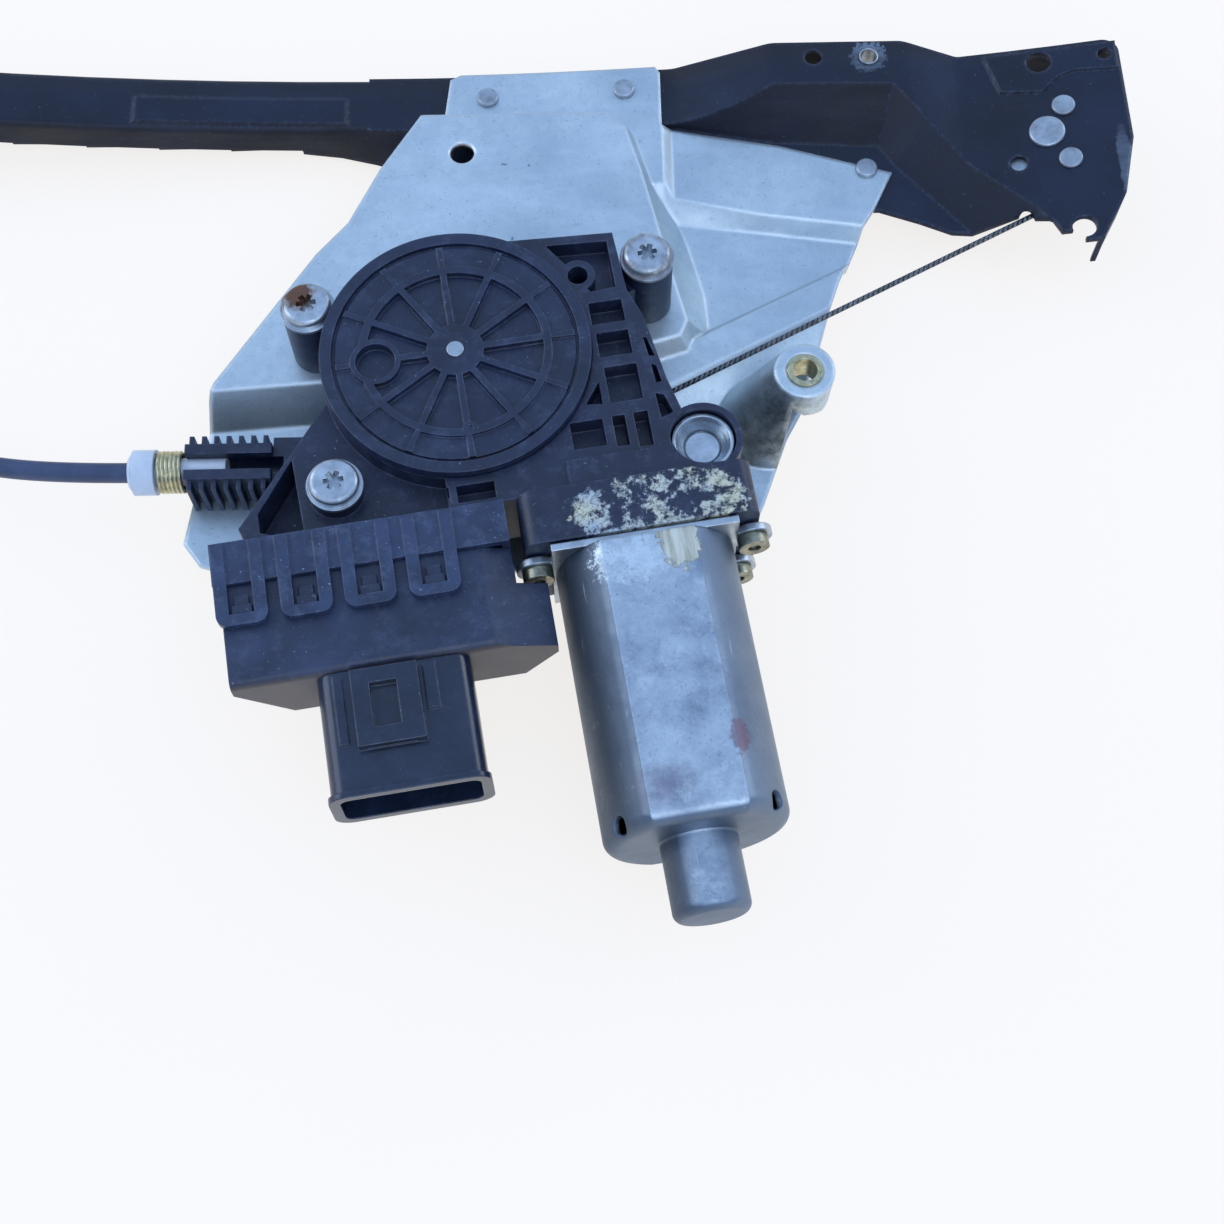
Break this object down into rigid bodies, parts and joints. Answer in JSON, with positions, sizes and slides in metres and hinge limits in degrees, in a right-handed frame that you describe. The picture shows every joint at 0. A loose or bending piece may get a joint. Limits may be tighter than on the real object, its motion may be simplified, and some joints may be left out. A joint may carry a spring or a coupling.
{
  "type": "window regulator",
  "caption": "Cable window lift: curved pressed rail, drum and worm gearbox on a bracket plate, direct-current motor, control box, pulleys and glass carrier.",
  "frame": {"origin": "centre of the top face of the threaded bush in the bracket plate's tower", "axes": "+Z out of the tower bush, away from the door's inner panel; +X along the rail towards its wide end; +Y from the motor across to the rail"},
  "size_m": [0.549, 0.2678, 0.0665],
  "materials": {
    "black_paint": "semi-gloss black",
    "galvanised_steel": "hot-dip galvanised, fine spangle",
    "bright_zinc": "bright zinc plate",
    "pale_zinc": "passivated zinc plate, dulled",
    "bolt_steel": "zinc plate with some rust",
    "brushed_steel": "turned bright",
    "yellow_zinc": "yellow passivated zinc",
    "black_plastic": "glass-filled nylon, fine grain",
    "gloss_black_plastic": "moulded, glossy",
    "pulley_plastic": "natural acetal, dark",
    "gear_plastic": "natural acetal",
    "pale_plastic": "natural moulded",
    "cable_steel": "stranded and greased",
    "sheath_plastic": "extruded",
    "ferrule_plastic": "moulded",
    "rubber": "matt",
    "magnet": "sintered ferrite",
    "sintered_bronze": "oiled",
    "machined_steel": "machined",
    "copper": "enamelled",
    "board": "green lacquer",
    "contact_brass": "tinned"
  },
  "bodies": {
    "root": {"rail": "black_paint", "bracket_plate": "galvanised_steel", "rail_weld_nut": "bright_zinc", "plate_nuts": "bright_zinc", "motor_flange": "bright_zinc", "motor_screws": "bright_zinc", "gear_axle_pin": "bright_zinc", "motor_can": "bright_zinc", "end_rivets": "pale_zinc", "right_pulley_axle": "pale_zinc", "left_pulley_axle": "pale_zinc", "right_wear_disc": "pale_zinc", "left_wear_disc": "pale_zinc", "plate_rivets": "pale_zinc", "mounting_bolts": "bolt_steel", "bolt_sleeves": "bolt_steel", "sealing_cup": "brushed_steel", "tower_bush": "yellow_zinc", "tensioner_spring": "yellow_zinc", "drum_housing": "black_plastic", "gear_housing": "black_plastic", "gear_cover": "black_plastic", "electronics_housing": "black_plastic", "electronics_cover": "black_plastic", "sheath_guide": "black_plastic", "connector_shroud": "gloss_black_plastic", "brush_holder": "pale_plastic", "drive_cable": "cable_steel", "return_cable": "cable_steel", "cable_sheath": "sheath_plastic", "sheath_end_ferrule": "ferrule_plastic", "end_buffers": "rubber", "magnets": "magnet", "motor_bearings": "sintered_bronze", "circuit_board": "board", "connector_pins": "contact_brass"},
    "armature": {"motor_shaft": "machined_steel", "armature_core": "machined_steel", "armature_windings": "copper", "commutator": "copper", "worm": "machined_steel"},
    "drum": {"worm_wheel": "gear_plastic", "coupling_damper": "rubber", "drive_hub": "pulley_plastic", "cable_drum": "pulley_plastic", "drum_cable_turns": "cable_steel"},
    "carrier": {"carrier_slider": "pulley_plastic", "carrier_plate": "galvanised_steel", "carrier_rivets": "pale_zinc", "glass_socket": "pulley_plastic", "cable_nipples": "cable_steel"},
    "right_pulley_body": {"right_pulley": "pulley_plastic"},
    "left_pulley_body": {"left_pulley": "pulley_plastic"},
    "tensioner": {"tensioner_ferrule": "pale_plastic"}
  },
  "joints": [
    {"name": "armature_spin", "type": "hinge", "parent": "root", "child": "armature", "pos_m": [-0.05475, 0.00646, -0.004], "axis": [-0.1495, 0.9888, 0], "range_deg": [-60, 61760]},
    {"name": "drum_spin", "type": "hinge", "parent": "root", "child": "drum", "pos_m": [-0.0948, 0.0004, -0.0185], "axis": [0, 0, 1], "range_deg": [-923.9, 3]},
    {"name": "carrier_travel", "type": "hinge", "parent": "root", "child": "carrier", "pos_m": [-0.107, 0.1, 1.078], "axis": [0, -1, 0], "range_deg": [0, 19.98]},
    {"name": "right_pulley_spin", "type": "hinge", "parent": "root", "child": "right_pulley_body", "pos_m": [0.0774, 0.0813, -0.01252], "axis": [-0.1667, 0, 0.986], "range_deg": [-1130.63, 3]},
    {"name": "left_pulley_spin", "type": "hinge", "parent": "root", "child": "left_pulley_body", "pos_m": [-0.42593, 0.0813, 0.01898], "axis": [0.2884, 0, 0.9575], "range_deg": [-1130.63, 3]},
    {"name": "tensioner_slide", "type": "slide", "parent": "root", "child": "tensioner", "axis": [1, 0, 0], "range_m": [0, 0.004], "stiffness_N_per_m": 4000, "deforming": ["tensioner_spring"]}
  ],
  "couplings": [
    {"joint": "armature_spin", "follows": "carrier_travel", "ratio": 3087.6},
    {"joint": "drum_spin", "follows": "carrier_travel", "ratio": -46.083},
    {"joint": "right_pulley_spin", "follows": "carrier_travel", "ratio": -56.429},
    {"joint": "left_pulley_spin", "follows": "carrier_travel", "ratio": -56.429}
  ]
}
